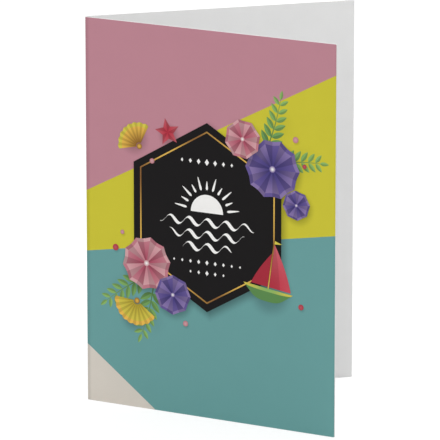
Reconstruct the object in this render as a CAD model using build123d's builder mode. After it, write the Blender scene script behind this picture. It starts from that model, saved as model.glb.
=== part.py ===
"""Greeting card: one sheet of card stock, scored and folded once, standing half open.

Frame: +Z up, the sheet stands on its lower cut edge at Z = 0. The fold runs up at -X,
the two panels open towards +X, the front panel on the -Y side and the back panel on
the +Y side. The origin is the centre of the bounding box's bottom. Sizes in mm.
"""

import os
from math import cos, radians, sin

from build123d import *

# ---- driving dimensions -------------------------------------------------------------
card_height = 177.8        # height of the sheet, along the fold
panel_width = 127.0        # flat width of one panel, from the score line to its free edge
sheet_thickness = 0.4      # caliper of the card stock
opening_angle = 46.0       # angle between the two panels, in degrees
inner_bend_radius = 0.6    # inside radius of the fold
bead_radius = 0.2          # ridge that the score raises along the inside of the fold
corner_radius = 0.4        # softening of the four free corners

# ---- values worked out from them ----------------------------------------------------
half_opening = opening_angle / 2
turn_angle = 180 - opening_angle
outer_bend_radius = inner_bend_radius + sheet_thickness
neutral_bend_radius = inner_bend_radius + sheet_thickness / 2

# Each panel gives half of the bend's length, so the sheet is two panel widths when flat.
flat_length = panel_width - neutral_bend_radius * radians(turn_angle / 2)

# The bend's axis stands where the bounding box comes out centred on the origin.
reach_to_fold = outer_bend_radius
reach_to_free_edge = flat_length * cos(radians(half_opening)) - inner_bend_radius * sin(radians(half_opening))
bend_axis_x = (reach_to_fold - reach_to_free_edge) / 2


# ---- card: the folded sheet ---------------------------------------------------------
with BuildPart() as card:
    # Section across the fold: back panel, bend and front panel as one strip of stock.
    with BuildSketch(Plane.XY) as section:
        with BuildLine() as outline:
            bend_axis = (bend_axis_x, 0)
            bend_start = 90 + half_opening
            outer_bend = CenterArc(bend_axis, outer_bend_radius, bend_start, turn_angle)
            inner_bend = CenterArc(bend_axis, inner_bend_radius, bend_start, turn_angle)
            back_outer = PolarLine(outer_bend @ 0, flat_length, half_opening)
            back_inner = PolarLine(inner_bend @ 0, flat_length, half_opening)
            front_outer = PolarLine(outer_bend @ 1, flat_length, -half_opening)
            front_inner = PolarLine(inner_bend @ 1, flat_length, -half_opening)
            back_cut = Line(back_outer @ 1, back_inner @ 1)
            front_cut = Line(front_outer @ 1, front_inner @ 1)
        make_face()
        # The score presses the outside in and raises a small bead on the inside.
        with Locations((bend_axis_x - inner_bend_radius, 0)):
            Circle(bead_radius)
    extrude(amount=card_height)

    # The cut corners at the free edges are very slightly soft from handling.
    straight_edges = card.edges().filter_by(GeomType.LINE)
    free_corners = straight_edges.filter_by(lambda edge: edge.length < 2 * sheet_thickness)
    fillet(free_corners, radius=corner_radius)


# ---- hand-off -----------------------------------------------------------------------
os.makedirs("parts", exist_ok=True)
card.part.label = "card"
export_step(card.part, "parts/card.step")
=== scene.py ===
"""Looks of the greeting card: its white card stock and the print on its cover.

The folded sheet itself is the CAD node "card", which keeps its shape and gets its paper here.
The print is modelled as thin films of ink on the outer face of the front panel: fields of
colour, a black plate with a gilt line and a white ornament, and paper-cut summer motifs.

Every film is drawn flat, in millimetres, and then laid on the cover:
u runs from the fold line to the free edge, v up from the lower edge, w out of the paper.
"""

from __future__ import annotations

import logging
import math
from contextlib import contextmanager
from dataclasses import KW_ONLY, dataclass, field
from enum import Enum
from typing import Callable, Iterator, Sequence

import bmesh
import bpy
from mathutils import Matrix, Vector

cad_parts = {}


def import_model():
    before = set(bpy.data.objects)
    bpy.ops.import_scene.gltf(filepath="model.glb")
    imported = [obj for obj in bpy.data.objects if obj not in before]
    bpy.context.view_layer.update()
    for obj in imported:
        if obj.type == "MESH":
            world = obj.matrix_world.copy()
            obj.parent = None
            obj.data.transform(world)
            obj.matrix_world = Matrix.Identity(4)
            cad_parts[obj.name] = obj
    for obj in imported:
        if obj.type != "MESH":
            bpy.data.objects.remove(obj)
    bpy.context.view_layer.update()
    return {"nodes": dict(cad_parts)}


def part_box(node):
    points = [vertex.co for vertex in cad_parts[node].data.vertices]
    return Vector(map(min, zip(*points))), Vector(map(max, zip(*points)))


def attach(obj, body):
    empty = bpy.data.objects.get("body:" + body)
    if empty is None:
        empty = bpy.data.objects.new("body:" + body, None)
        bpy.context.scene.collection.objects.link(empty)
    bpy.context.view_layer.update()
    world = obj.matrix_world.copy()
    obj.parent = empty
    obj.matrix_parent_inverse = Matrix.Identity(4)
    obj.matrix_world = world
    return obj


log = logging.getLogger("greeting_card")

MM = 0.001
UP = Vector((0.0, 0.0, 1.0))
BODY = "root"
SHEET_NODE = "card"

FILM = 0.02            # thickness of one film of ink, and the step between two levels, in mm
CUT_TOLERANCE = 1e-5   # how near to a cut a drawn point counts as on it, in mm
INK_NUMBER = "ink_number"
NOISE_SPREAD = (0.3, 0.7)   # where most of a noise's values lie

Socket = bpy.types.NodeSocket
Value = float | Sequence[float] | Socket
Piece = bpy.types.Object
Pair = tuple[float, float]
Place = Callable[[float, float], Pair]      # gives a drawn point, by u and v, its new place
InkOf = Callable[[float, float], int]       # gives a face, by its middle, its ink's number


class Ink(Enum):
    """The colours of the print, as sRGB values out of 255."""

    ROSE = (185, 131, 143)
    TEAL = (103, 155, 154)
    LEMON = (199, 191, 54)
    SAND = (211, 204, 194)
    BLACK = (20, 18, 19)
    WHITE = (240, 239, 237)
    GOLD = (220, 176, 76)
    GOLD_DEEP = (132, 88, 36)
    VIOLET = (62, 54, 114)
    VIOLET_PALE = (96, 82, 140)
    LILAC = (130, 112, 160)
    PINK = (160, 68, 90)
    PINK_PALE = (182, 116, 128)
    BLUSH = (200, 154, 158)
    CORAL = (172, 46, 62)
    CORAL_PALE = (180, 84, 94)
    LEAF = (92, 138, 78)
    LEAF_PALE = (132, 172, 96)
    CITRON = (202, 188, 72)
    CITRON_DEEP = (166, 146, 46)

    def linear(self, gain: float = 1.0) -> tuple[float, float, float, float]:
        """Gives the ink, a gain lighter or darker, as linear red, green, blue and alpha."""
        r, g, b = (min(1.0, gain * to_linear(level / 255)) for level in self.value)
        return r, g, b, 1.0


def to_linear(level: float) -> float:
    """Turns one sRGB level, from 0 to 1, into its linear value."""
    return level / 12.92 if level <= 0.04045 else ((level + 0.055) / 1.055) ** 2.4


def grey(level: float) -> tuple[float, float, float, float]:
    """Gives a neutral linear colour."""
    return level, level, level, 1.0


@dataclass(frozen=True)
class Cover:
    """The outer face of the front panel, from the fold line to the free edge, in mm."""

    opening_deg: float = 46.0
    sheet: float = 0.4
    inner_bend: float = 0.6
    width: float = 127.0
    corner: float = 0.4
    bare_rim: float = 0.15

    @property
    def height(self) -> float:
        """The panel's height, read from the CAD node."""
        low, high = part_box(SHEET_NODE)
        return (high.z - low.z) / MM

    @property
    def outer_bend(self) -> float:
        """The radius of the fold's outside."""
        return self.inner_bend + self.sheet

    @property
    def neutral_bend(self) -> float:
        """The radius at the middle of the sheet's thickness."""
        return self.inner_bend + self.sheet / 2

    @property
    def bend_length(self) -> float:
        """How much of the panel's flat width goes round the fold."""
        return self.neutral_bend * math.radians((180 - self.opening_deg) / 2)

    @property
    def along(self) -> Vector:
        """The direction of u, from the fold to the free edge."""
        half = math.radians(self.opening_deg / 2)
        return Vector((math.cos(half), -math.sin(half), 0.0))

    @property
    def outward(self) -> Vector:
        """The direction of w, out of the printed face."""
        return self.along.cross(UP)

    @property
    def start(self) -> Vector:
        """Where u and v are 0 on the flat face carried on over the fold, in metres."""
        low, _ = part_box(SHEET_NODE)
        axis = Vector((low.x + self.outer_bend * MM, 0.0, low.z))
        return axis + (self.outward * self.outer_bend - self.along * self.bend_length) * MM

    def point(self, u: float, v: float) -> Vector:
        """Gives the place of a drawn point on the printed face, in metres."""
        return self.start + (self.along * u + UP * v) * MM

    def direction(self, degrees: float) -> Vector:
        """Gives a direction in the printed face, turned from u towards v."""
        turn = math.radians(degrees)
        return self.along * math.cos(turn) + UP * math.sin(turn)

    def matrix(self) -> Matrix:
        """Gives the move from the flat drawing, in mm, to the card, in metres."""
        turned = Matrix((self.along * MM, UP * MM, self.outward * MM)).transposed()
        return Matrix.Translation(self.start) @ turned.to_4x4()

    def wrap(self, piece: Piece) -> None:
        """Bends what is drawn before the fold's tangent round the fold.

        Args:
            piece: A film that is still flat, in drawing coordinates.
        """
        for vertex in piece.data.vertices:
            before = self.bend_length - vertex.co.x
            if before > 0:
                angle = before / self.neutral_bend
                radius = self.outer_bend + vertex.co.z
                vertex.co.x = self.bend_length - radius * math.sin(angle)
                vertex.co.z = radius * math.cos(angle) - self.outer_bend


COVER = Cover()


# ---- drawing flat shapes and making films of them


@contextmanager
def editing(piece: Piece) -> Iterator[bmesh.types.BMesh]:
    """Opens one object in edit mode, with all of it selected.

    Args:
        piece: The object to edit.

    Yields:
        The mesh being edited, to select its faces and edges by their place.
    """
    use(piece)
    bpy.ops.object.mode_set(mode="EDIT")
    bpy.ops.mesh.select_all(action="SELECT")
    yield bmesh.from_edit_mesh(piece.data)
    bpy.ops.object.mode_set(mode="OBJECT")


def use(*pieces: Piece) -> None:
    """Selects some objects alone and makes the first the active one.

    Args:
        pieces: The objects.
    """
    bpy.ops.object.select_all(action="DESELECT")
    for piece in pieces:
        piece.select_set(True)
    bpy.context.view_layer.objects.active = pieces[0]


def named(piece: Piece, name: str) -> Piece:
    """Names an object and its mesh."""
    piece.name = piece.data.name = name
    return piece


def primitive(name: str, add: Callable[..., object], **sizes: object) -> Piece:
    """Adds a flat primitive at the drawing's origin by its operator and that one's settings."""
    add(**sizes)
    return named(bpy.context.active_object, name)


def new_disc(name: str, radii: Sequence[float], segments: int) -> Piece:
    """Draws a round shape of rings of faces about one centre point.

    Args:
        name: The piece's name.
        radii: The rings' radii, from the rim inwards.
        segments: How many faces go round.

    Returns:
        The flat piece.
    """
    piece = primitive(name, bpy.ops.mesh.primitive_circle_add, vertices=segments, radius=radii[0])
    with editing(piece):
        for outer, inner in zip(radii, radii[1:]):
            bpy.ops.mesh.extrude_edges_move()
            shrink = inner / outer
            bpy.ops.transform.resize(value=(shrink, shrink, 1.0), center_override=(0, 0, 0))
        bpy.ops.mesh.edge_face_add()
        bpy.ops.mesh.poke()
    return piece


def new_strip(name: str, steps: int, rows: int = 1) -> Piece:
    """Draws a strip of steps by rows faces, with u from 0 to 1 and v from -1 to 1."""
    piece = primitive(name, bpy.ops.mesh.primitive_grid_add, x_subdivisions=steps, y_subdivisions=rows)
    return shape(piece, lambda u, v: ((u + 1) / 2, v))


def shape(piece: Piece, place: Place) -> Piece:
    """Moves each point of a flat piece.

    Args:
        piece: The flat piece.
        place: Where its points go.

    Returns:
        The same piece.
    """
    for vertex in piece.data.vertices:
        vertex.co.x, vertex.co.y = place(vertex.co.x, vertex.co.y)
    return piece


def cut(piece: Piece, at: Pair, towards: Vector, remove: bool = True) -> None:
    """Cuts a flat piece along a line.

    Args:
        piece: The flat piece.
        at: A point on the line.
        towards: The direction across the line.
        remove: Whether what lies on that side is taken away.
    """
    with editing(piece):
        bpy.ops.mesh.bisect(
            plane_co=(*at, 0.0), plane_no=towards, clear_outer=remove, threshold=CUT_TOLERANCE
        )


def film(flat: Piece, place: Place | None = None, ink: InkOf | None = None,
         thickness: float = FILM) -> Piece:
    """Makes a film of a flat drawing: numbers its inks, shapes it and thickens it upwards.

    Args:
        flat: The drawing.
        place: Where its points go.
        ink: The inks of its faces, by their middles in the unshaped drawing.
        thickness: The film's thickness.

    Returns:
        The same piece, as one closed shell.
    """
    if ink:
        numbers = flat.data.attributes.new(INK_NUMBER, "INT", "FACE")
        for face in flat.data.polygons:
            numbers.data[face.index].value = ink(face.center.x, face.center.y)
    if place:
        shape(flat, place)
    with editing(flat) as mesh:
        bmesh.ops.recalc_face_normals(mesh, faces=mesh.faces)
        if sum(face.normal.z for face in mesh.faces) < 0:
            bpy.ops.mesh.flip_normals()
    solid = flat.modifiers.new("film", "SOLIDIFY")
    solid.thickness = thickness
    solid.offset = 1.0
    bpy.ops.object.modifier_apply(modifier=solid.name)
    return flat


def move(piece: Piece, u: float = 0.0, v: float = 0.0, w: float = 0.0,
         turn_deg: float = 0.0, size: float = 1.0) -> Piece:
    """Sizes a piece in its plane, turns it about the drawing's origin and shifts it.

    Args:
        piece: The piece to move.
        u, v, w: The shift.
        turn_deg: The turn, before the shift.
        size: How many times larger it gets.

    Returns:
        The same piece.
    """
    turned = Matrix.Rotation(math.radians(turn_deg), 4, "Z")
    return put(piece, Matrix.Translation((u, v, w)) @ turned @ Matrix.Diagonal((size, size, 1.0, 1.0)))


def put(piece: Piece, place: Matrix) -> Piece:
    """Carries a piece's mesh to a place, while the object stays at the origin."""
    piece.data.transform(place)
    return piece


def join(name: str, parts: Sequence[Piece]) -> Piece:
    """Joins parts into one piece.

    Args:
        name: The piece's name.
        parts: What it is made of.

    Returns:
        The joined piece.
    """
    use(*parts)
    bpy.ops.object.join()
    return named(parts[0], name)


def dress_with(piece: Piece, *materials: bpy.types.Material) -> None:
    """Gives a piece its materials.

    Args:
        piece: The piece to dress.
        materials: Its materials, in the order of its faces' ink numbers.
    """
    for material in materials:
        piece.data.materials.append(material)
    numbers = piece.data.attributes.get(INK_NUMBER)
    if numbers:
        for face in piece.data.polygons:
            face.material_index = numbers.data[face.index].value
        piece.data.attributes.remove(numbers)


def lay(piece: Piece) -> None:
    """Lays a finished film on the cover, where it rides with the card.

    Args:
        piece: The film, in drawing coordinates.
    """
    put(piece, COVER.matrix())
    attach(piece, BODY)


# ---- finishes


class Nodes:
    """Writes the nodes of one material or world."""

    def __init__(self, owner: bpy.types.Material | bpy.types.World, output: str) -> None:
        """Starts with nothing but the output.

        Args:
            owner: The material or the world.
            output: The type of its output node.
        """
        owner.use_nodes = True
        self.tree = owner.node_tree
        self.tree.nodes.clear()
        self.output = self.node(output)

    def node(self, kind: str, *values: Value, **settings: object) -> bpy.types.Node:
        """Adds a node.

        Args:
            kind: The node's type.
            values: What goes into its first inputs, as numbers or as sockets.
            settings: The node's own settings and, by names with a capital, more inputs.

        Returns:
            The node.
        """
        made = self.tree.nodes.new(kind)
        more = {name: settings.pop(name) for name in list(settings) if name[0].isupper()}
        for name, setting in settings.items():
            setattr(made, name, setting)
        for socket, value in zip(made.inputs, values):
            self.feed(socket, value)
        for name, value in more.items():
            self.feed(made.inputs[name], value)
        return made

    def feed(self, socket: Socket, value: Value) -> None:
        """Links an input to a socket, or sets its value.

        Args:
            socket: The input.
            value: What goes into it.
        """
        if isinstance(value, Socket):
            self.tree.links.new(value, socket)
        else:
            socket.default_value = value

    def show(self, shader: bpy.types.Node) -> None:
        """Sends a shader to the output's surface."""
        self.feed(self.output.inputs["Surface"], shader.outputs[0])

    def show_either(self, share: Socket, first: bpy.types.Node, second: bpy.types.Node) -> None:
        """Sends two shaders to the output, share of the second."""
        self.show(self.node("ShaderNodeMixShader", share, first.outputs[0], second.outputs[0]))

    def math(self, operation: str, *values: Value) -> Socket:
        """Adds a math node and gives its result."""
        return self.node("ShaderNodeMath", *values, operation=operation).outputs[0]

    def vector(self, operation: str, *values: Value, **inputs: Value) -> bpy.types.Node:
        """Adds a vector math node."""
        return self.node("ShaderNodeVectorMath", *values, operation=operation, **inputs)

    def measure(self, operation: str, *values: Value) -> Socket:
        """Adds a vector math node whose result is a number."""
        return self.vector(operation, *values).outputs["Value"]

    def remap(self, value: Socket, source: Pair, target: Pair, smooth: bool = False) -> Socket:
        """Carries a value from one range to another, holds it there, and may ease it in and out."""
        kind = "SMOOTHSTEP" if smooth else "LINEAR"
        return self.node("ShaderNodeMapRange", value, *source, *target, interpolation_type=kind).outputs[0]


class Finish(Nodes):
    """Writes the nodes of one material of the card."""

    def __init__(self, name: str) -> None:
        """Starts a material with its shader.

        Args:
            name: The material's name.
        """
        self.material = bpy.data.materials.new(name)
        super().__init__(self.material, "ShaderNodeOutputMaterial")
        self.shader = self.node("ShaderNodeBsdfPrincipled")
        self.show(self.shader)
        self.place = self.node("ShaderNodeTexCoord").outputs["Object"]

    def noise(self, size: float, detail: float) -> Socket:
        """Gives a noise whose patches are about as large as size, in metres."""
        made = self.node("ShaderNodeTexNoise", Vector=self.place, Scale=1.0 / size, Detail=detail)
        return made.outputs["Fac"]

    def spread(self, noise: Socket, target: Pair) -> Socket:
        """Carries a noise to a range."""
        return self.remap(noise, NOISE_SPREAD, target)

    def shaded(self, colour: Value, gain: Socket) -> Socket:
        """Gives a colour made lighter or darker by a gain."""
        plain = colour[:3] if isinstance(colour, tuple) else colour
        return self.vector("SCALE", plain, Scale=gain).outputs[0]

    def blend(self, share: Socket, first: Value, second: Value) -> Socket:
        """Mixes two colours, share of the second."""
        made = self.node("ShaderNodeMix", data_type="RGBA", Factor=share, A=first, B=second)
        return made.outputs["Result"]

    def surface(self, **inputs: Value) -> bpy.types.Material:
        """Sets the shader's inputs, whose names are written with _ for a blank.

        Args:
            inputs: What goes into them.

        Returns:
            The finished material.
        """
        for name, value in inputs.items():
            self.feed(self.shader.inputs[name.replace("_", " ")], value)
        return self.material

    def relief(self, height: Socket, depth: float, strength: float) -> Socket:
        """Gives the normal of a fine relief, depth metres deep."""
        bump = self.node("ShaderNodeBump", Strength=strength, Distance=depth, Height=height)
        return bump.outputs["Normal"]


@dataclass(frozen=True)
class CardStock:
    """White folding board: smooth faces, with the fibre showing at its cut edges."""

    tint: tuple[float, float, float] = (0.80, 0.80, 0.797)
    cut_tint: tuple[float, float, float] = (0.76, 0.752, 0.738)
    roughness: Pair = (0.57, 0.67)
    specular: float = 0.25
    detail: float = 4.0
    cloud: float = 9 * MM
    cloud_gain: Pair = (0.988, 1.008)
    fibre: float = 0.35 * MM
    fibre_gain: Pair = (0.985, 1.01)
    core_gain: Pair = (0.93, 1.03)
    fibre_depth: float = 0.02 * MM
    fibre_relief: float = 0.35
    level_normal: float = 0.5
    mouth_normal: float = 0.7

    def material(self, name: str) -> bpy.types.Material:
        """Makes the paper.

        Args:
            name: The material's name.

        Returns:
            The material.
        """
        paper = Finish(name)
        fibre = paper.noise(self.fibre, self.detail)
        cloud = paper.spread(paper.noise(self.cloud, self.detail), self.cloud_gain)
        gain = paper.math("MULTIPLY", cloud, paper.spread(fibre, self.fibre_gain))
        face = paper.shaded(self.tint, gain)
        core = paper.shaded(self.cut_tint, paper.spread(fibre, self.core_gain))
        return paper.surface(
            Base_Color=paper.blend(self.cut_share(paper), face, core),
            Roughness=paper.spread(fibre, self.roughness),
            Specular_IOR_Level=self.specular,
            Normal=paper.relief(fibre, self.fibre_depth, self.fibre_relief),
        )

    def cut_share(self, paper: Finish) -> Socket:
        """Finds the cut edges: the faces that look up, down or out of the card's mouth.

        Args:
            paper: The finish being written.

        Returns:
            1 on the cut edges and 0 elsewhere.
        """
        normal = paper.node("ShaderNodeNewGeometry").outputs["Normal"]
        facing = paper.node("ShaderNodeSeparateXYZ", normal).outputs
        place = paper.node("ShaderNodeSeparateXYZ", paper.place).outputs
        level = paper.math("GREATER_THAN", paper.math("ABSOLUTE", facing["Z"]), self.level_normal)
        outward = paper.math("GREATER_THAN", facing["X"], self.mouth_normal)
        mouth = paper.math("MULTIPLY", outward, paper.math("GREATER_THAN", place["X"], 0.0))
        return paper.math("MAXIMUM", level, mouth)


@dataclass(frozen=True)
class Shadow:
    """A soft drop shadow that is printed round a shape, in mm."""

    u: float
    v: float
    reach: float
    blur: float
    strength: float
    six_sided: bool = False

    def distance(self, ink: Finish) -> Socket:
        """Measures how far a place is from the shadow's middle, round it or across its sides.

        Args:
            ink: The finish it is printed in.

        Returns:
            The distance in metres.
        """
        centre = COVER.point(self.u, self.v)
        if not self.six_sided:
            return ink.measure("DISTANCE", ink.place, centre)
        apart = ink.vector("SUBTRACT", ink.place, centre).outputs[0]
        first, second, third = (
            ink.math("ABSOLUTE", ink.measure("DOT_PRODUCT", apart, COVER.direction(degrees)))
            for degrees in (0, 60, 120)
        )
        return ink.math("MAXIMUM", ink.math("MAXIMUM", first, second), third)

    def light(self, ink: Finish) -> Socket:
        """Gives the light that the shadow leaves in an ink, 1 outside it."""
        edges = ((self.reach - self.blur) * MM, (self.reach + self.blur) * MM)
        return ink.remap(self.distance(ink), edges, (1 - self.strength, 1.0), smooth=True)


@dataclass(frozen=True)
class Cast:
    """How a shape's soft shadow falls: its reach and place along it in shares of its size."""

    share: float
    blur: float
    strength: float
    more: float = 0.0
    along: float = 0.0
    shift: Pair = (0.8, -1.6)
    six_sided: bool = False

    def of(self, u: float, v: float, size: float, turn_deg: float = 0.0) -> Shadow:
        """Gives the shadow of one shape.

        Args:
            u, v: The shape's place.
            size: Its size.
            turn_deg: Its own direction, from u towards v.

        Returns:
            The shadow.
        """
        out = size * self.along
        u += out * math.cos(math.radians(turn_deg)) + self.shift[0]
        v += out * math.sin(math.radians(turn_deg)) + self.shift[1]
        return Shadow(u, v, size * self.share + self.more, self.blur, self.strength, self.six_sided)


@dataclass(frozen=True)
class EdgeShade:
    """A slight darkening of the print towards the fold, which is painted shade in the rounded crease, or
    towards the free edge, in mm.
    """

    dark_u: float
    clear_u: float
    strength: float

    def light(self, ink: Finish) -> Socket:
        """Gives the light that the shade leaves in an ink.

        Args:
            ink: The finish it is printed in.

        Returns:
            The light, 1 beyond the shade.
        """
        apart = ink.vector("SUBTRACT", ink.place, COVER.start).outputs[0]
        ends = (self.dark_u * MM, self.clear_u * MM)
        along = ink.measure("DOT_PRODUCT", apart, COVER.along)
        return ink.remap(along, ends, (1 - self.strength, 1.0), smooth=True)


@dataclass(frozen=True, kw_only=True)
class PrintedInk:
    """A matt ink that lets the paper's grain through, with the printed drop shadows, and on the fields the
    painted shade at the fold and the darkening at the free edge, worked into it.
    """

    gain: float = 1.0
    shadows: tuple[Shadow | EdgeShade, ...] = ()
    roughness: float = 0.5
    specular: float = 0.12
    grain: float = 0.3 * MM
    grain_detail: float = 3.0
    grain_gain: Pair = (0.985, 1.012)
    grain_depth: float = 0.012 * MM
    grain_relief: float = 0.25
    cloud: float = 14 * MM
    cloud_detail: float = 2.0
    cloud_gain: Pair = (0.992, 1.008)

    def colour(self, finish: Finish) -> Value:
        """Gives the ink's colour, before its grain and shadows."""
        raise NotImplementedError

    def material(self, name: str) -> bpy.types.Material:
        """Makes the ink.

        Args:
            name: The material's name.

        Returns:
            The material.
        """
        finish = Finish(name)
        grain = finish.noise(self.grain, self.grain_detail)
        cloud = finish.noise(self.cloud, self.cloud_detail)
        gain = finish.spread(grain, self.grain_gain)
        lights = [shadow.light(finish) for shadow in self.shadows]
        for light in (finish.spread(cloud, self.cloud_gain), *lights):
            gain = finish.math("MULTIPLY", gain, light)
        return finish.surface(
            Base_Color=finish.shaded(self.colour(finish), gain),
            Roughness=self.roughness,
            Specular_IOR_Level=self.specular,
            Normal=finish.relief(grain, self.grain_depth, self.grain_relief),
        )


@dataclass(frozen=True, kw_only=True)
class FlatInk(PrintedInk):
    """One even ink."""

    ink: Ink

    def colour(self, finish: Finish) -> Value:
        """Gives the ink's colour."""
        return self.ink.linear(self.gain)


@dataclass(frozen=True, kw_only=True)
class RoundInk(PrintedInk):
    """An ink that changes evenly from a centre to a rim, as on a rounded paper shape."""

    inner: Ink
    outer: Ink
    u: float
    v: float
    radius: float

    def colour(self, finish: Finish) -> Value:
        """Mixes the two inks by the distance from the centre.

        Args:
            finish: The finish being written.

        Returns:
            The colour.
        """
        distance = finish.measure("DISTANCE", finish.place, COVER.point(self.u, self.v))
        share = finish.remap(distance, (0.0, self.radius * MM), (0.0, 1.0), smooth=True)
        return finish.blend(share, self.inner.linear(self.gain), self.outer.linear(self.gain))


@dataclass(frozen=True, kw_only=True)
class GiltInk(PrintedInk):
    """A printed gold that runs from bright to deep and back across the cover."""

    bright: Ink = Ink.GOLD
    deep: Ink = Ink.GOLD_DEEP
    slant_deg: float = 35.0
    wave: float = 34.0
    roughness: float = 0.38
    specular: float = 0.3

    def colour(self, finish: Finish) -> Value:
        """Mixes the two golds in even waves.

        Args:
            finish: The finish being written.

        Returns:
            The colour.
        """
        across = finish.measure("DOT_PRODUCT", finish.place, COVER.direction(self.slant_deg))
        turns = finish.math("MULTIPLY", across, math.tau / (self.wave * MM))
        share = finish.remap(finish.math("SINE", turns), (-1.0, 1.0), (0.0, 1.0))
        return finish.blend(share, self.bright.linear(), self.deep.linear())


# ---- sub-assemblies


@dataclass
class FoldedSheet:
    """The card itself, whose shape is the CAD node's."""

    stock: CardStock = CardStock()

    def build(self, nodes: dict[str, Piece]) -> list[Piece]:
        """Finds the sheet among the CAD nodes and gives it its paper.

        Args:
            nodes: The CAD nodes by name.

        Returns:
            The sheet.
        """
        sheet = nodes[SHEET_NODE]
        sheet.data.materials.clear()
        dress_with(sheet, self.stock.material("card_stock"))
        return [sheet]


@dataclass(frozen=True)
class Edge:
    """A straight boundary between two colour fields, from one side of the panel to the other."""

    left: Pair
    right: Pair

    def trim(self, piece: Piece, side: int) -> None:
        """Takes away what lies above the boundary, for side 1, or below it, for side -1."""
        across = Vector((self.left[1] - self.right[1], self.right[0] - self.left[0], 0.0))
        cut(piece, self.left, across.normalized() * side)


@dataclass
class ColourFields:
    """The four plain fields that cover the whole front, with straight boundaries."""

    shadows: tuple[Shadow, ...] = ()
    rose_edge: Edge = Edge((0.0, 98.0), (127.0, 164.0))
    teal_edge: Edge = Edge((0.0, 70.0), (127.0, 92.0))
    sand_edge: Edge = Edge((0.0, 27.0), (36.0, 0.0))
    # painted shade: the print darkens towards the fold line, where shade falls in the rounded crease
    painted_crease_shade: EdgeShade = EdgeShade(1.0, 2.6, 0.15)
    free_edge: EdgeShade = EdgeShade(COVER.width, COVER.width - 1.6, 0.07)
    fold_steps: int = 8
    corner_segments: int = 4
    pieces: dict[Ink, Piece] = field(default_factory=dict)

    def build(self) -> list[Piece]:
        """Cuts the fields out of sheets as large as the cover.

        Returns:
            The four films.
        """
        self.pieces = {
            Ink.ROSE: self.field_of(Ink.ROSE, above=self.rose_edge),
            Ink.LEMON: self.field_of(Ink.LEMON, self.rose_edge, self.teal_edge),
            Ink.TEAL: self.field_of(Ink.TEAL, self.teal_edge, self.sand_edge),
            Ink.SAND: self.field_of(Ink.SAND, below=self.sand_edge),
        }
        return list(self.pieces.values())

    def field_of(self, ink: Ink, below: Edge | None = None, above: Edge | None = None) -> Piece:
        """Makes one field.

        Args:
            ink: Its colour.
            below: The boundary that it lies below.
            above: The boundary that it lies above.

        Returns:
            The film, laid on the cover.
        """
        rim = COVER.bare_rim
        width, height = COVER.width - rim, COVER.height - 2 * rim
        name = f"field_{ink.name.lower()}"
        piece = primitive(name, bpy.ops.mesh.primitive_plane_add, size=1.0)
        shape(piece, lambda u, v: ((u + 0.5) * width, (v + 0.5) * height + rim))
        self.round_free_corners(piece)
        for edge, side in ((below, 1), (above, -1)):
            if edge:
                edge.trim(piece, side)
        for step in range(1, self.fold_steps + 1):
            at = (COVER.bend_length * step / self.fold_steps, 0.0)
            cut(piece, at, Vector((1.0, 0.0, 0.0)), remove=False)
        COVER.wrap(film(piece))
        lay(piece)
        return piece

    def round_free_corners(self, piece: Piece) -> None:
        """Rounds the two corners at the free edge as the sheet's are.

        Args:
            piece: The whole field, before it is cut to its boundaries.
        """
        with editing(piece) as mesh:
            bpy.ops.mesh.select_all(action="DESELECT")
            for vertex in mesh.verts:
                vertex.select = vertex.co.x > COVER.width / 2
            mesh.select_flush(True)
            bpy.ops.mesh.bevel(offset=COVER.corner, segments=self.corner_segments, affect="VERTICES")

    def dress(self) -> None:
        """Prints each field with its ink, the painted shade at the fold, the darkening at the free edge and
        the motifs' printed shadows.
        """
        for ink, piece in self.pieces.items():
            finish = FlatInk(ink=ink, shadows=(self.painted_crease_shade, self.free_edge, *self.shadows))
            dress_with(piece, finish.material(piece.name))


@dataclass
class Plate:
    """The black six-sided plate with its gilt line, point up."""

    u: float = 62.5
    v: float = 92.5
    apothem: float = 37.5
    line_inset: float = 3.3
    line_width: float = 0.65
    level: int = 3
    black: FlatInk = FlatInk(ink=Ink.BLACK, specular=0.1)
    gilt: GiltInk = GiltInk()
    cast: Cast = Cast(1.0, 2.8, 0.5, more=0.4, shift=(1.3, -1.7), six_sided=True)
    pieces: list[Piece] = field(default_factory=list)

    def build(self) -> list[Piece]:
        """Makes the plate and, one film higher, its line.

        Returns:
            The two films.
        """
        black = self.hexagon("plate_black", self.apothem)
        line = self.hexagon("plate_gilt_line", self.apothem - self.line_inset)
        with editing(line):
            bpy.ops.mesh.inset(thickness=self.line_width, depth=0.0)
            bpy.ops.mesh.delete(type="FACE")
        self.pieces = [black, line]
        for level, piece in enumerate(self.pieces, start=self.level):
            lay(move(film(piece), self.u, self.v, FILM * level))
        return self.pieces

    @staticmethod
    def hexagon(name: str, apothem: float) -> Piece:
        """Draws a flat six-sided shape whose sides lie apothem away from its middle."""
        add = bpy.ops.mesh.primitive_circle_add
        return primitive(name, add, vertices=6, radius=apothem / math.cos(math.pi / 6), fill_type="NGON")

    def dress(self) -> None:
        """Prints the plate black and its line gold."""
        for piece, ink in zip(self.pieces, (self.black, self.gilt)):
            dress_with(piece, ink.material(piece.name))

    def shadow(self) -> Shadow:
        """Gives the plate's own drop shadow."""
        return self.cast.of(self.u, self.v, self.apothem)


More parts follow.
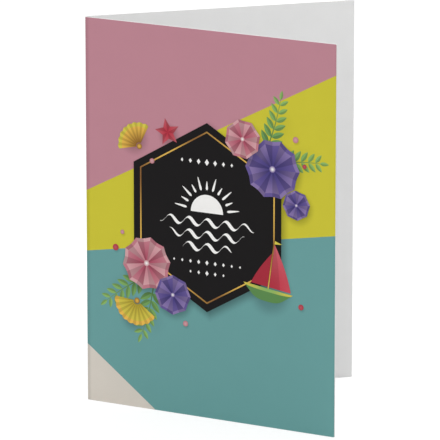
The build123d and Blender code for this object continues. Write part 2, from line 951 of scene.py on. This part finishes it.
@dataclass
class SunAndWaves:
    """The white ornament on the plate: a sun over three brushed waves, with rows of lozenges."""

    u: float
    v: float
    level: int
    sun_radius: float = 8.2
    sun_segments: int = 48
    horizon: float = 2.4
    rays: int = 11
    ray_margin_deg: float = 9.0
    ray_start: float = 10.4
    ray_lengths: Pair = (6.2, 4.0)
    ray_width: float = 1.25
    ray_steps: int = 10
    ray_root: Pair = (6.0, 0.12)        # how fast a ray swells from its root, and from what
    ray_tip: Pair = (1.02, 0.55)        # where it would come to a point, and how bluntly
    waves: tuple[Pair, ...] = ((48.0, -2.2), (38.0, -8.0), (25.0, -13.6))
    wave_length: float = 9.4
    wave_height: float = 1.7
    wave_width: float = 1.5
    wave_steps: float = 3.0             # faces in each millimetre of a stroke
    wave_swell: Pair = (0.62, 0.38)     # a stroke's middle width, and how much it swells
    wave_ends: Pair = (5.0, 0.7)        # how fast it thins out to its ends, and how bluntly
    wave_least: float = 0.04
    wave_slant: float = 0.5
    rows: tuple[tuple[float, int, float], ...] = ((25.4, 7, 1.5), (-20.6, 9, 1.15), (-25.4, 5, 1.15))
    lozenge_step: float = 4.2
    lozenge_waist: float = 0.72
    lozenge_fade: float = 0.5
    pieces: list[Piece] = field(default_factory=list)

    def build(self) -> list[Piece]:
        """Makes the sun, the waves and the rows.

        Returns:
            The films.
        """
        self.pieces = [self.sun()]
        self.pieces += [self.wave(number, *wave) for number, wave in enumerate(self.waves, start=1)]
        self.pieces += [self.row(number, *row) for number, row in enumerate(self.rows, start=1)]
        for piece in self.pieces:
            lay(move(piece, self.u, self.v, FILM * self.level))
        return self.pieces

    def sun(self) -> Piece:
        """Makes the half sun and its rays, which are long and short by turns.

        Returns:
            The film.
        """
        disc = new_disc("sun_disc", (self.sun_radius,), self.sun_segments)
        cut(disc, (0.0, 0.0), Vector((0.0, -1.0, 0.0)))
        parts = [film(disc)]
        first, last = self.ray_margin_deg, 180 - self.ray_margin_deg
        for number in range(self.rays):
            ray = self.ray(self.ray_lengths[number % 2])
            parts.append(move(ray, turn_deg=first + (last - first) * number / (self.rays - 1)))
        return move(join("ornament_sun", parts), v=self.horizon)

    def ray(self, length: float) -> Piece:
        """Makes one brushed ray along u, thickest near the sun and drawn out to a point.

        Args:
            length: Its length.

        Returns:
            The film.
        """
        def brushed(u: float, v: float) -> Pair:
            """Gives a point its place on the ray."""
            root = min(1.0, self.ray_root[0] * u + self.ray_root[1])
            tip = (self.ray_tip[0] - u) ** self.ray_tip[1]
            return self.ray_start + u * length, v * self.ray_width / 2 * math.sqrt(root) * tip

        return film(new_strip("ray", self.ray_steps), brushed)

    def wave(self, number: int, length: float, height: float) -> Piece:
        """Makes one wave, a brush stroke that swells on its way down.

        Args:
            number: Its number in the name.
            length: Its length.
            height: Its height on the plate.

        Returns:
            The film.
        """
        def brushed(u: float, v: float) -> Pair:
            """Gives a point its place on the stroke.

            Args:
                u, v: Its place on the strip.

            Returns:
                Its place in the drawing.
            """
            along = (u - 0.5) * length
            phase = math.tau * along / self.wave_length
            swell = self.wave_swell[0] + self.wave_swell[1] * math.sin(phase)
            ends = min(1.0, self.wave_ends[0] * max(0.0, min(u, 1 - u))) ** self.wave_ends[1]
            off = v * (self.wave_width / 2 * swell * ends + self.wave_least)
            return along + self.wave_slant * off, self.wave_height * math.cos(phase) + off

        strip = new_strip(f"ornament_wave_{number}", int(length * self.wave_steps))
        return move(film(strip, brushed), v=height)

    def row(self, number: int, height: float, count: int, size: float) -> Piece:
        """Makes one row of small lozenges, largest in the middle.

        Args:
            number: Its number in the name.
            height: Its height on the plate.
            count: How many lozenges it has.
            size: Half of the middle one's height.

        Returns:
            The film.
        """
        lozenges = []
        for place in range(count):
            off = place - (count - 1) / 2
            lozenge = film(new_disc("lozenge", (size,), 4), lambda u, v: (u * self.lozenge_waist, v))
            share = 1.0 - self.lozenge_fade * abs(off) / (count / 2)
            lozenges.append(move(lozenge, u=off * self.lozenge_step, v=height, size=share))
        return join(f"ornament_row_{number}", lozenges)

    def dress(self) -> None:
        """Prints the ornament white."""
        white = FlatInk(ink=Ink.WHITE).material("ornament_white")
        for piece in self.pieces:
            dress_with(piece, white)


@dataclass(frozen=True)
class Shade:
    """One ink of a motif, from its middle to its rim, which is a share of the motif's size away."""

    inner: Ink
    outer: Ink
    share: float = 1.0
    gain: float = 1.0


def folded(gains: Pair, *pairs: tuple[Ink, Ink]) -> list[Shade]:
    """Gives each pair of inks as the lit and the dim side of a fold in the paper."""
    return [Shade(*inks, gain=gain) for inks in pairs for gain in gains]


@dataclass
class Motif:
    """A paper-cut shape that is printed on the cover, each of its shapes a film."""

    name: str
    u: float
    v: float
    size: float
    _: KW_ONLY
    level: int = 5
    turn_deg: float = 0.0
    cast: Cast
    piece: Piece | None = None

    def draw(self) -> list[Piece]:
        """Makes the motif's films round the drawing's origin."""
        raise NotImplementedError

    def shades(self) -> list[Shade]:
        """Gives the motif's inks, in the order of their numbers."""
        raise NotImplementedError

    def build(self) -> list[Piece]:
        """Makes the motif as one piece, in its place.

        Returns:
            The piece.
        """
        self.piece = join(self.name, self.draw())
        lay(move(self.piece, self.u, self.v, FILM * self.level, self.turn_deg))
        return [self.piece]

    def dress(self, above: Sequence[Shadow]) -> None:
        """Prints the motif's inks.

        Args:
            above: The shadows that fall on it.
        """
        for number, shade in enumerate(self.shades()):
            ink = RoundInk(
                inner=shade.inner, outer=shade.outer, u=self.u, v=self.v,
                radius=shade.share * self.size, gain=shade.gain, shadows=tuple(above),
            )
            self.piece.data.materials.append(ink.material(f"{self.name}_{number}"))
        dress_with(self.piece)

    def shadow(self) -> Shadow:
        """Gives the motif's drop shadow, a little to the right and below."""
        return self.cast.of(self.u, self.v, self.size, self.turn_deg)


@dataclass(kw_only=True)
class Parasol(Motif):
    """A paper parasol from above: gores by turns in two inks, each with a lit and a dim half."""

    first: tuple[Ink, Ink]
    second: tuple[Ink, Ink]
    cast: Cast = Cast(1.0, 2.4, 0.38, more=-0.3)
    gains: Pair = (1.08, 0.78)
    ribs: int = 10
    scallop: float = 0.085
    band: float = 0.86
    band_room: float = 0.05
    inner_ring: float = 0.45
    steps: int = 6
    top: float = 0.11
    top_segments: int = 24

    def draw(self) -> list[Piece]:
        """Makes the canopy and, one film higher, the finial at its middle.

        Returns:
            Their films.
        """
        radii = [self.size * share for share in (1.0, self.band, self.inner_ring)]
        canopy = film(new_disc(self.name, radii, self.ribs * self.steps), self.scalloped, self.ink_at)
        finial = new_disc("finial", (self.size * self.top,), self.top_segments)
        return [canopy, move(film(finial, ink=lambda u, v: 4), w=FILM)]

    def gores_round(self, u: float, v: float) -> float:
        """Gives how far round a point lies, in gores."""
        return math.degrees(math.atan2(v, u)) % 360 / (360 / self.ribs)

    def scalloped(self, u: float, v: float) -> Pair:
        """Draws the rim and its band in between the ribs."""
        outside = math.hypot(u, v) > self.size * (self.band - self.band_room)
        share = 1 - outside * self.scallop * abs(math.sin(math.pi * self.gores_round(u, v)))
        return u * share, v * share

    def ink_at(self, u: float, v: float) -> int:
        """Gives a face's ink: lit and dim of the first inks, then of the second."""
        gores = self.gores_round(u, v)
        in_band = math.hypot(u, v) > self.size * (self.band + 1) / 2 * (1 - self.scallop)
        return 2 * ((int(gores) + in_band) % 2) + int(gores % 1.0 > 0.5)

    def shades(self) -> list[Shade]:
        """Gives the gores' four inks and the finial's."""
        finial = Shade(Ink.WHITE, self.second[1], self.top)
        return [*folded(self.gains, self.first, self.second), finial]


@dataclass(kw_only=True)
class Sprig(Motif):
    """A leafy sprig: a thin bowed stem with pairs of rounded leaves and one at its tip."""

    level: int = 1
    cast: Cast = Cast(0.0, 5.0, 0.10, more=5.0, along=0.6)
    gains: Pair = (1.08, 0.74)
    pairs: int = 6
    tip_room: float = 0.6
    bow: float = 3.0
    stem_width: float = 0.7
    stem_taper: float = 0.65
    stem_films: float = 1.5
    stem_steps: int = 16
    leaf_length: float = 7.6
    leaf_width: float = 3.1
    leaf_belly: Pair = (0.85, 0.8)      # how near its foot a leaf is widest, and how full it is
    leaf_least: float = 0.02
    leaf_steps: int = 8
    leaf_angle: float = 50.0
    leaf_stand: float = 0.25
    leaf_fade: float = 0.42

    def draw(self) -> list[Piece]:
        """Makes the stem and its leaves.

        Returns:
            Their films.
        """
        strip = new_strip("stem", self.stem_steps)
        stem = film(strip, self.bowed, lambda u, v: 1, thickness=FILM * self.stem_films)
        parts = [stem, self.leaf(1.0, 0)]
        for number in range(1, self.pairs + 1):
            share = number / (self.pairs + self.tip_room)
            parts += [self.leaf(share, side) for side in (-1, 1)]
        return parts

    def bowed(self, u: float, v: float) -> Pair:
        """Gives a point its place on the stem."""
        half = self.stem_width / 2 * (1.0 - self.stem_taper * u)
        return u * self.size, self.bow * u ** 2 + v * half

    def rounded(self, u: float, v: float) -> Pair:
        """Gives a point its place on a leaf."""
        belly = max(0.0, math.sin(math.pi * u ** self.leaf_belly[0])) ** self.leaf_belly[1]
        return u * self.leaf_length, v * max(self.leaf_width / 2 * belly, self.leaf_least)

    def leaf(self, share: float, side: int) -> Piece:
        """Makes one leaf, its two halves in two greens, smaller towards the stem's tip.

        Args:
            share: How far along the stem it stands, from 0 to 1.
            side: The side it stands on, -1 or 1, or 0 for the leaf at the tip.

        Returns:
            The film.
        """
        strip = new_strip("leaf", self.leaf_steps, rows=2)
        leaf = film(strip, self.rounded, lambda u, v: int(v <= 0))
        slope = math.degrees(math.atan(2 * self.bow * share / self.size))
        v = self.bow * share ** 2 + self.leaf_stand * side
        turn = slope + side * self.leaf_angle
        return move(leaf, self.size * share, v, 0.0, turn, 1.0 - self.leaf_fade * share)

    def shades(self) -> list[Shade]:
        """Gives the leaves' lit and dim greens, lighter towards the tip."""
        return folded(self.gains, (Ink.LEAF, Ink.LEAF_PALE))


@dataclass(kw_only=True)
class PleatedFan(Motif):
    """A folded paper fan: pleats by turns lit and dim, with a rim band and a round rivet."""

    body: tuple[Ink, Ink]
    rim: tuple[Ink, Ink]
    cast: Cast = Cast(0.55, 3.0, 0.34, along=0.55)
    gains: Pair = (1.08, 0.82)
    spread_deg: float = 150.0
    pleats: int = 9
    steps: int = 4
    band: float = 0.86
    band_row: float = 2 / 3
    hole: float = 0.16
    rivet: float = 0.8
    rivet_segments: int = 20
    bulge: float = 0.05

    def draw(self) -> list[Piece]:
        """Makes the leaf of the fan and, one film higher, its rivet.

        Returns:
            Their films.
        """
        strip = new_strip(self.name, self.pleats * 2 * self.steps, rows=6)
        rivet = new_disc("rivet", (self.size * self.hole * self.rivet,), self.rivet_segments)
        return [film(strip, self.fanned, self.ink_at), move(film(rivet, ink=lambda u, v: 4), w=FILM)]

    def ink_at(self, u: float, v: float) -> int:
        """Gives a face's ink: lit and dim of the body, then of the rim band."""
        return 2 * int(v > self.band_row) + int(u * self.pleats * 2) % 2

    def fanned(self, u: float, v: float) -> Pair:
        """Carries the strip round into a fan.

        Args:
            u: The place along the strip, which becomes the angle.
            v: The place across it, which becomes the distance.

        Returns:
            The new place.
        """
        angle = math.radians((0.5 - u) * self.spread_deg)
        if v > self.band_row - 0.01:
            rim = 1.0 + self.bulge * abs(math.sin(math.pi * self.pleats * u))
            share = self.band + (rim - self.band) * (v - self.band_row) / (1 - self.band_row)
        else:
            share = self.hole + (self.band - self.hole) * (v + 1) / (self.band_row + 1)
        return self.size * share * math.cos(angle), self.size * share * math.sin(angle)

    def shades(self) -> list[Shade]:
        """Gives the pleats' four inks and the rivet's."""
        rivet = Shade(Ink.GOLD, Ink.GOLD_DEEP, self.hole)
        return [*folded(self.gains, self.body, self.rim), rivet]


@dataclass(kw_only=True)
class Star(Motif):
    """A faceted star, each arm with a lit and a dim side."""

    inks: tuple[Ink, Ink]
    cast: Cast = Cast(0.7, 2.0, 0.3)
    gains: Pair = (1.1, 0.78)
    arms: int = 5
    waist: float = 0.46

    def draw(self) -> list[Piece]:
        """Makes the star."""
        disc = new_disc(self.name, (self.size,), self.arms * 2)
        return [film(disc, self.pointed, lambda u, v: int(self.half_arms(u, v)) % 2)]

    def half_arms(self, u: float, v: float) -> float:
        """Gives how far round from the top a point lies, in half arms."""
        return (math.degrees(math.atan2(v, u)) - 90) % 360 / (180 / self.arms)

    def pointed(self, u: float, v: float) -> Pair:
        """Draws every other rim point in to the waist."""
        share = self.waist if round(self.half_arms(u, v)) % 2 else 1.0
        return u * share, v * share

    def shades(self) -> list[Shade]:
        """Gives the lit and the dim ink."""
        return folded(self.gains, self.inks)


@dataclass(kw_only=True)
class SailingBoat(Motif):
    """A small paper boat: two sails, a mast with a pennant and a two-coloured hull.

    All but the mast's width, a sail's tip and the pennant's half height is in shares of its size.
    """

    cast: Cast = Cast(0.36, 3.6, 0.32)
    sail_height: float = 0.80
    small_sail: float = 0.78            # the small sail's height, as a share of the large one's
    feet: Pair = (0.44, 0.34)           # the two sails' lengths along their feet
    belly: float = 0.35
    tip: float = 0.02
    gap: float = 0.03
    mast_width: float = 0.5
    mast_height: float = 0.90
    pennant_length: float = 0.15
    pennant_height: float = 0.865
    pennant_half: float = 0.8
    hull_depth: float = 0.24
    hull_round: Pair = (3.2, 0.45)      # how late the keel rises to the ends, and how far
    hull_rake: float = 0.30
    sail_steps: int = 12
    pennant_steps: int = 4
    hull_faces: tuple[int, int] = (16, 4)
    inks: tuple[Shade, ...] = (
        Shade(Ink.CORAL, Ink.CORAL_PALE, 0.9),              # the large sail's near half
        Shade(Ink.CORAL, Ink.CORAL_PALE, 0.9, 1.25),        # its free half
        Shade(Ink.CORAL, Ink.CORAL, 0.9, 0.86),             # the small sail
        Shade(Ink.LEAF, Ink.LEAF, 0.9, 0.95),               # the hull
        Shade(Ink.LEAF_PALE, Ink.CITRON, 0.5, 1.05),        # its strake and the pennant
        Shade(Ink.GOLD, Ink.GOLD_DEEP, 0.9),                # the mast
    )

    def draw(self) -> list[Piece]:
        """Makes the sails, the mast, the pennant and the hull.

        Returns:
            Their films.
        """
        half, height = self.mast_width / 2, self.size * self.mast_height
        mast = film(new_strip("mast", 1), lambda u, v: (v * half, u * height), lambda u, v: 5)
        pennant = film(new_strip("pennant", self.pennant_steps), self.tapered, lambda u, v: 4)
        hull = film(new_strip("hull", *self.hull_faces), self.rounded, lambda u, v: 4 if v > 0.5 else 3)
        return [self.sail(1), self.sail(-1), mast, pennant, hull]

    def sail(self, side: int) -> Piece:
        """Makes one sail, bellied at its free side.

        Args:
            side: 1 for the large sail on the right, -1 for the small one on the left.

        Returns:
            The film.
        """
        height = self.size * self.sail_height * (1.0 if side > 0 else self.small_sail)
        foot = self.size * self.feet[0 if side > 0 else 1]
        gap = self.size * self.gap

        def bellied(u: float, v: float) -> Pair:
            """Gives a point its place on the sail."""
            width = max(foot * (1 - u) * (1 + self.belly * u), self.tip)
            return side * (gap / 2 + (v + 1) / 2 * width), gap + u * height

        strip = new_strip("sail", self.sail_steps, rows=2)
        return film(strip, bellied, lambda u, v: int(v > 0) if side > 0 else 2)

    def tapered(self, u: float, v: float) -> Pair:
        """Gives a point its place on the pennant."""
        half = max(self.tip / 2, self.pennant_half * (1 - u))
        along = self.mast_width / 2 + u * self.size * self.pennant_length
        return along, self.size * self.pennant_height + v * half

    def rounded(self, u: float, v: float) -> Pair:
        """Gives a point its place on the hull, which is round below."""
        out, down = 2 * u - 1, (1 - v) / 2
        depth = self.size * self.hull_depth * (1 - abs(out) ** self.hull_round[0] * self.hull_round[1])
        return out * self.size / 2 * (1.0 - self.hull_rake * down), -down * depth

    def shades(self) -> list[Shade]:
        """Gives the six inks of the sails, the hull and the mast."""
        return list(self.inks)


@dataclass(kw_only=True)
class Pearl(Motif):
    """A small round pearl, palest in its middle."""

    pale: Ink = Ink.BLUSH
    full: Ink = Ink.PINK_PALE
    fade: float = 1.2
    segments: int = 28
    cast: Cast = Cast(0.8, 1.1, 0.28, shift=(0.4, -0.8))

    def draw(self) -> list[Piece]:
        """Makes the pearl."""
        return [film(new_disc(self.name, (self.size,), self.segments))]

    def shades(self) -> list[Shade]:
        """Gives the pearl's ink."""
        return [Shade(self.pale, self.full, self.fade)]


VIOLETS = (Ink.VIOLET, Ink.VIOLET_PALE)
DEEP_LILACS = (Ink.VIOLET, Ink.LILAC)
LILACS = (Ink.VIOLET_PALE, Ink.LILAC)
PINKS = (Ink.PINK, Ink.PINK_PALE)
BLUSHES = (Ink.PINK_PALE, Ink.BLUSH)
CITRONS = (Ink.CITRON_DEEP, Ink.CITRON)
CORALS = (Ink.CORAL, Ink.CORAL_PALE)
GILTS = (Ink.GOLD_DEEP, Ink.GOLD)
GOLDS = (Ink.GOLD, Ink.GOLD)
CORAL_PEARL = {"pale": Ink.CORAL_PALE, "full": Ink.CORAL}


def cover_motifs() -> list[Motif]:
    """Lists the motifs round the plate, lowest first, with their u, v and size.

    Returns:
        The motifs.
    """
    violet = {"first": VIOLETS, "second": LILACS, "ribs": 8, "level": 7}
    pink = {"first": PINKS, "second": BLUSHES}
    return [
        Sprig("sprig_top_1", 92.0, 126.0, 25.0, turn_deg=66.0),
        Sprig("sprig_top_2", 96.0, 121.0, 23.0, turn_deg=14.0, bow=-3.0),
        Sprig("sprig_low_1", 32.0, 62.0, 25.0, turn_deg=206.0),
        Sprig("sprig_low_2", 35.0, 58.0, 24.0, turn_deg=262.0, bow=-3.0),
        Parasol("parasol_violet_large", 95.5, 118.5, 13.6, first=VIOLETS, second=DEEP_LILACS),
        Parasol("parasol_pink_top", 80.5, 130.5, 9.0, level=7, ribs=8, turn_deg=14.0, **pink),
        Parasol("parasol_violet_small", 107.5, 103.5, 6.8, turn_deg=5.0, **violet),
        Parasol("parasol_pink_large", 31.5, 68.0, 12.4, turn_deg=8.0, **pink),
        Parasol("parasol_violet_low", 45.0, 55.0, 9.2, **violet),
        PleatedFan("fan_citron", 26.5, 50.0, 11.0, level=7, body=CITRONS, rim=GOLDS, turn_deg=250.0),
        PleatedFan("fan_gold", 28.0, 121.5, 10.5, body=GILTS, rim=CITRONS, spread_deg=128.0, pleats=8,
                   turn_deg=128.0),
        Star("star_coral", 42.5, 129.5, 6.4, inks=CORALS, turn_deg=12.0),
        SailingBoat("boat", 93.5, 64.0, 25.0, turn_deg=-8.0),
        Pearl("pearl_1", 107.0, 133.0, 1.4),
        Pearl("pearl_2", 111.5, 121.5, 1.0, **CORAL_PEARL),
        Pearl("pearl_3", 15.5, 73.5, 1.5, **CORAL_PEARL),
        Pearl("pearl_4", 19.0, 81.0, 1.0),
        Pearl("pearl_5", 51.5, 42.5, 1.3),
        Pearl("pearl_6", 34.5, 115.5, 1.2),
        Pearl("pearl_7", 110.0, 57.5, 1.3, **CORAL_PEARL),
    ]


def shadows_on(motif: Motif, motifs: Sequence[Motif]) -> list[Shadow]:
    """Finds the shadows that the motifs above one throw on it.

    Args:
        motif: The motif they fall on.
        motifs: All the motifs.

    Returns:
        The shadows that reach it.
    """
    own = motif.shadow()
    found = []
    for other in motifs:
        shadow = other.shadow()
        apart = math.hypot(shadow.u - own.u, shadow.v - own.v)
        reach = own.reach + own.blur + shadow.reach + shadow.blur
        if other.level > motif.level and apart < reach:
            found.append(shadow)
    return found


# ---- the studio


@dataclass(frozen=True)
class Stand:
    """A place that looks at the card: degrees round it, 0 on -Y, and up, and metres away."""

    name: str
    azimuth_deg: float
    elevation_deg: float
    distance: float

    def hold(self, data: bpy.types.ID, aim: Vector, **settings: object) -> bpy.types.Object:
        """Puts a lamp or a camera there.

        Args:
            data: The lamp's or camera's data.
            aim: The point it looks at.
            settings: The data's settings.

        Returns:
            The object.
        """
        for name, setting in settings.items():
            setattr(data, name, setting)
        made = bpy.data.objects.new(self.name, data)
        bpy.context.scene.collection.objects.link(made)
        azimuth, elevation = math.radians(self.azimuth_deg), math.radians(self.elevation_deg)
        level = math.cos(elevation)
        away = Vector((math.sin(azimuth) * level, -math.cos(azimuth) * level, math.sin(elevation)))
        made.location = aim + away * self.distance
        made.rotation_mode = "QUATERNION"
        made.rotation_quaternion = (-away).to_track_quat("-Z", "Y")
        return made


@dataclass(frozen=True)
class Lamp(Stand):
    """One square soft lamp, in metres and watts."""

    size: float
    power: float


@dataclass
class Studio:
    """A pale floor, soft even light and the camera."""

    floor_radius: float = 12.0
    floor_sides: int = 96
    floor_tint: float = 0.86
    floor_lift: float = 0.62            # the share of the floor's white that no shadow takes
    floor_spare: float = 0.06
    floor_rise: Pair = (0.5, 1.8)       # how far out the floor turns all white, in metres
    world_light: float = 0.55
    lamps: tuple[Lamp, ...] = (
        Lamp("lamp_front", -30.0, 25.0, 2.4, size=1.6, power=8.8),
        Lamp("lamp_top", 10.0, 70.0, 2.4, size=1.6, power=24.0),
        Lamp("lamp_back", 160.0, 62.0, 0.6, size=0.4, power=1.6),
    )
    camera: Stand = Stand("camera", 5.91, 13.83, 2.0864)
    aim: Vector = field(default_factory=lambda: Vector((2.1 * MM, 0.0, 85.6 * MM)))
    lens: float = 379.2
    sensor: float = 36.0
    clip: Pair = (0.05, 50.0)

    def build(self) -> None:
        """Makes the whole studio."""
        self.make_floor()
        self.make_world()
        self.make_lamps()
        self.make_camera()
        bpy.context.scene.view_settings.view_transform = "Standard"

    def make_floor(self) -> None:
        """Makes the floor, which looks white to the camera and keeps the card's shadow."""
        add = bpy.ops.mesh.primitive_circle_add
        floor = primitive("floor", add, vertices=self.floor_sides, radius=self.floor_radius, fill_type="NGON")
        material = bpy.data.materials.new("floor_pale")
        nodes = Nodes(material, "ShaderNodeOutputMaterial")
        away = nodes.measure("LENGTH", nodes.node("ShaderNodeTexCoord").outputs["Object"])
        near = self.floor_lift + self.floor_spare
        full = nodes.node("ShaderNodeBsdfDiffuse", grey(self.floor_tint))
        half = nodes.node("ShaderNodeBsdfDiffuse", grey(1.0 - self.floor_lift))
        lift = nodes.node("ShaderNodeEmission", Strength=nodes.remap(away, self.floor_rise, (near, 1.0)))
        seen = nodes.node("ShaderNodeAddShader", half.outputs[0], lift.outputs[0])
        path = nodes.node("ShaderNodeLightPath").outputs
        nodes.show_either(path["Is Camera Ray"], full, seen)
        floor.data.materials.append(material)

    def make_world(self) -> None:
        """Makes the even light all round, behind which the camera and reflections see white."""
        world = bpy.data.worlds.new("studio")
        bpy.context.scene.world = world
        nodes = Nodes(world, "ShaderNodeOutputWorld")
        light = nodes.node("ShaderNodeBackground", grey(self.world_light))
        white = nodes.node("ShaderNodeBackground", grey(1.0))
        path = nodes.node("ShaderNodeLightPath").outputs
        seen = nodes.math("MAXIMUM", path["Is Camera Ray"], path["Is Glossy Ray"])
        seen = nodes.math("MAXIMUM", seen, path["Is Transmission Ray"])
        nodes.show_either(seen, light, white)

    def make_lamps(self) -> None:
        """Makes the square lamps, which the camera doesn't see."""
        for lamp in self.lamps:
            data = bpy.data.lights.new(lamp.name, "AREA")
            made = lamp.hold(data, self.aim, shape="SQUARE", size=lamp.size, energy=lamp.power)
            made.visible_camera = False

    def make_camera(self) -> None:
        """Makes the camera: far off, with a long lens, looking a little down."""
        data = bpy.data.cameras.new("camera")
        data.clip_start, data.clip_end = self.clip
        held = self.camera.hold(data, self.aim, lens=self.lens, sensor_width=self.sensor)
        bpy.context.scene.camera = held


def report(pieces: Sequence[Piece]) -> None:
    """Logs each piece's name and how many faces it has."""
    for piece in pieces:
        log.info("%s: %d faces", piece.name, len(piece.data.polygons))


def main() -> None:
    """Builds the card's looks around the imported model."""
    logging.basicConfig(level=logging.INFO, format="%(name)s: %(message)s")
    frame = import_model()
    Studio().build()

    report(FoldedSheet().build(frame["nodes"]))

    plate = Plate()
    motifs = cover_motifs()
    fields = ColourFields(tuple(item.shadow() for item in (plate, *motifs)))
    ornament = SunAndWaves(plate.u, plate.v, plate.level + 1)
    for part in (fields, plate, ornament):
        report(part.build())
        part.dress()
    for motif in motifs:
        report(motif.build())
        motif.dress(shadows_on(motif, motifs))


if __name__ == "__main__":
    main()
